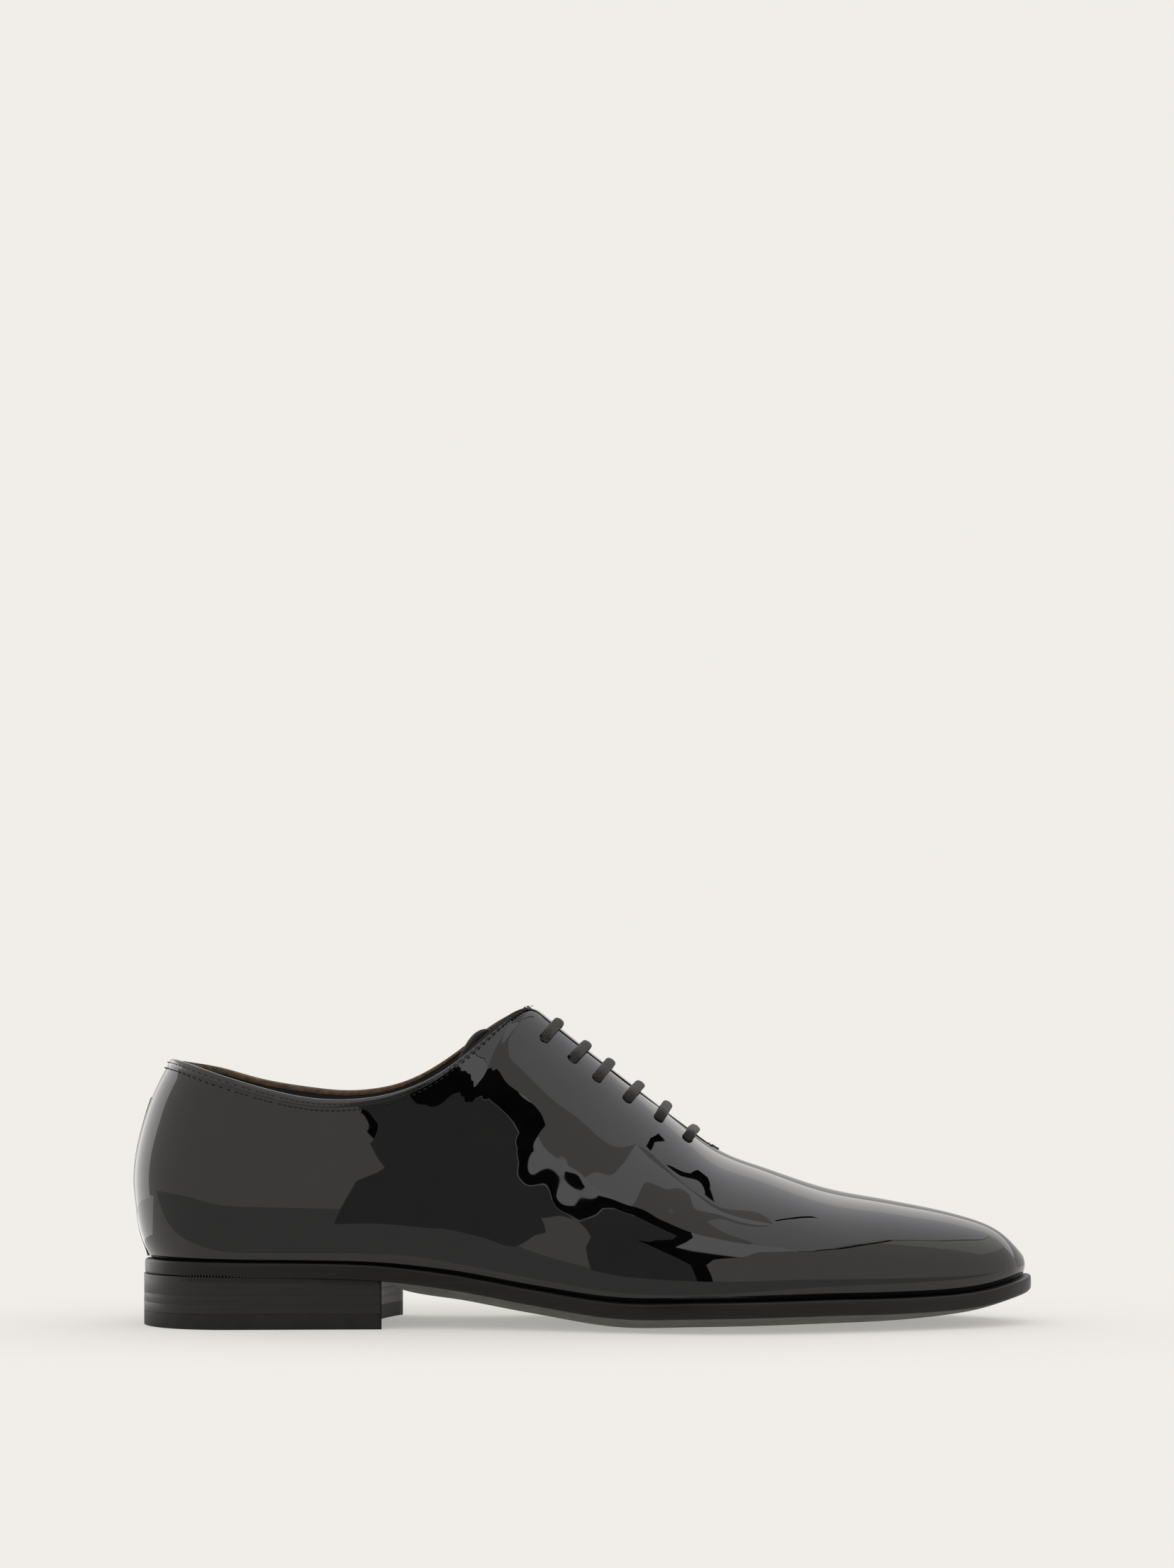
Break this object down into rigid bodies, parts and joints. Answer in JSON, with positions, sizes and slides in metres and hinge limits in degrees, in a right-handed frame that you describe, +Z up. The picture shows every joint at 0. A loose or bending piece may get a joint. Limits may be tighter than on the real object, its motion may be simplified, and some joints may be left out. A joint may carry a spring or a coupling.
{
  "type": "leather oxford shoe",
  "caption": "Black patent leather wholecut oxford for the right foot, with straight-bar lacing, a leather sole and a stacked heel.",
  "frame": {"origin": "on the ground, under the middle of the shoe's bounding box", "axes": "+X towards the toe, +Y towards the inner side of the foot, +Z up"},
  "size_m": [0.3092, 0.1041, 0.1094],
  "materials": {
    "patent_leather": "high gloss black patent",
    "binding_leather": "glossy black calf",
    "lining_leather": "matt black calf lining",
    "stiffener": "raw leather board",
    "canvas": "cotton drill",
    "sole_leather": "dyed and waxed sole leather",
    "heel_leather": "stacked leather, dyed and waxed",
    "heel_rubber": "matt black rubber",
    "cork": "cork paste",
    "insole": "leather board",
    "foam": "thin foam",
    "steel": "plain",
    "brass": "plain",
    "lace_cord": "woven waxed cotton",
    "aglet_plastic": "glossy",
    "thread": "waxed thread"
  },
  "bodies": {
    "shoe": {"wholecut_upper": "patent_leather", "topline_binding": "binding_leather", "back_strip": "patent_leather", "heel_counter": "stiffener", "toe_puff": "stiffener", "lateral_facing_stay": "canvas", "medial_facing_stay": "canvas", "interlining": "canvas", "blind_eyelets": "brass", "quarter_lining": "lining_leather", "vamp_lining": "lining_leather", "insole_board": "insole", "sole_stitch": "thread", "sock_foam": "foam", "sock_liner": "lining_leather", "shank": "steel", "shank_rivets": "steel", "cork_filler": "cork", "outsole": "sole_leather", "heel_lift_1": "heel_leather", "heel_lift_2": "heel_leather", "heel_lift_3": "heel_leather", "top_piece": "heel_rubber", "heel_nails": "steel", "top_piece_nails": "steel", "lace": "lace_cord", "lace_tail_a": "lace_cord", "lace_tail_b": "lace_cord", "aglet_a": "aglet_plastic", "aglet_b": "aglet_plastic", "throat_bar_tack": "thread"},
    "tongue_flap": {"tongue": "patent_leather", "tongue_lining": "lining_leather"}
  },
  "joints": [
    {"name": "tongue_hinge", "type": "hinge", "parent": "shoe", "child": "tongue_flap", "pos_m": [0.04201, 0.004, 0.047], "axis": [0, -1, 0], "range_deg": [0, 15]}
  ]
}
